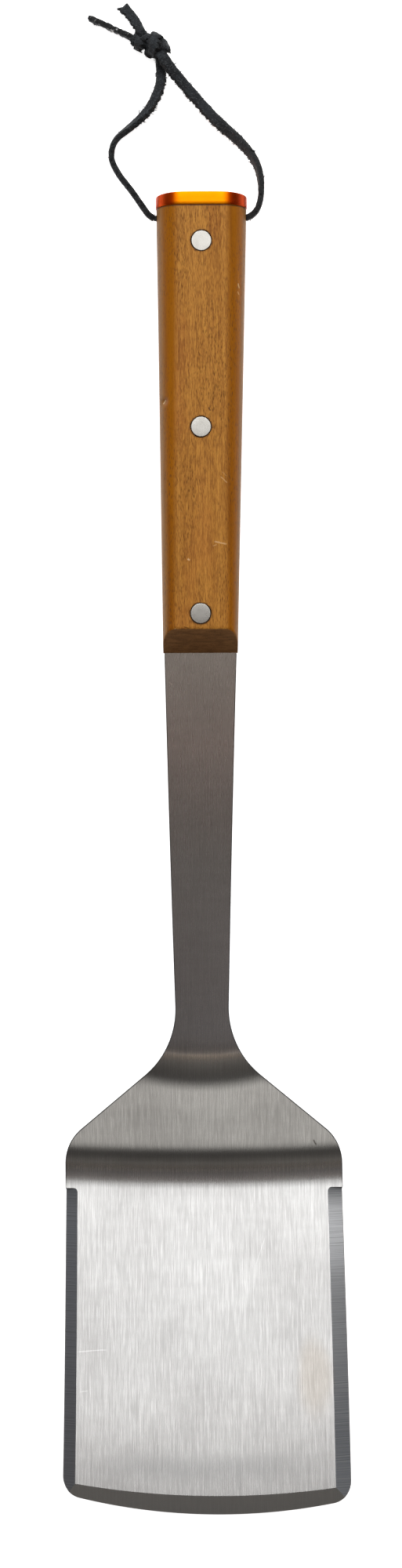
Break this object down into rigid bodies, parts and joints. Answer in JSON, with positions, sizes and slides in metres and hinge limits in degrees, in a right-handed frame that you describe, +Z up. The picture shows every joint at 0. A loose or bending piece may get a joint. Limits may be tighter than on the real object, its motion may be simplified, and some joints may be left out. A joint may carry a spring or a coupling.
{
  "type": "grill spatula",
  "caption": "Long grill spatula: bent steel blade with ground bevels and a tapering shank, riveted wooden handle with a metal end cap, and a knotted lace loop for hanging.",
  "frame": {"origin": "on the surface that the spatula lies on, under the middle of its length and width, the lace not counted", "axes": "+Z up, away from the surface and out of the upper face; +Y along the length towards the butt of the handle, so the blade's tip points to -Y; +X to the right of a viewer who looks down with the blade towards them"},
  "size_m": [0.0999, 0.5337, 0.0359],
  "materials": {
    "steel": "brushed along its length, bevels ground across",
    "wood": "oiled, with open dark pores",
    "cap": "orange anodised, satin",
    "rivet": "ground flush with the wood",
    "lace": "matt, with fuzzy cut edges"
  },
  "bodies": {
    "spatula": {"spatula_blank": "steel", "handle_scale_front": "wood", "handle_scale_back": "wood", "end_cap": "cap", "rivet_1_barrel": "rivet", "rivet_1_pin": "rivet", "rivet_2_barrel": "rivet", "rivet_2_pin": "rivet", "rivet_3_barrel": "rivet", "rivet_3_pin": "rivet"},
    "lanyard": {"lace_threaded": "lace", "lace_left": "lace", "lace_right": "lace", "lace_knot": "lace", "lace_tail_long": "lace", "lace_tail_short": "lace"}
  },
  "joints": [
    {"name": "lanyard_swing", "type": "hinge", "parent": "spatula", "child": "lanyard", "pos_m": [0, 0.22375, 0.00987], "axis": [1, 0, 0], "range_deg": [-100, 100]}
  ]
}
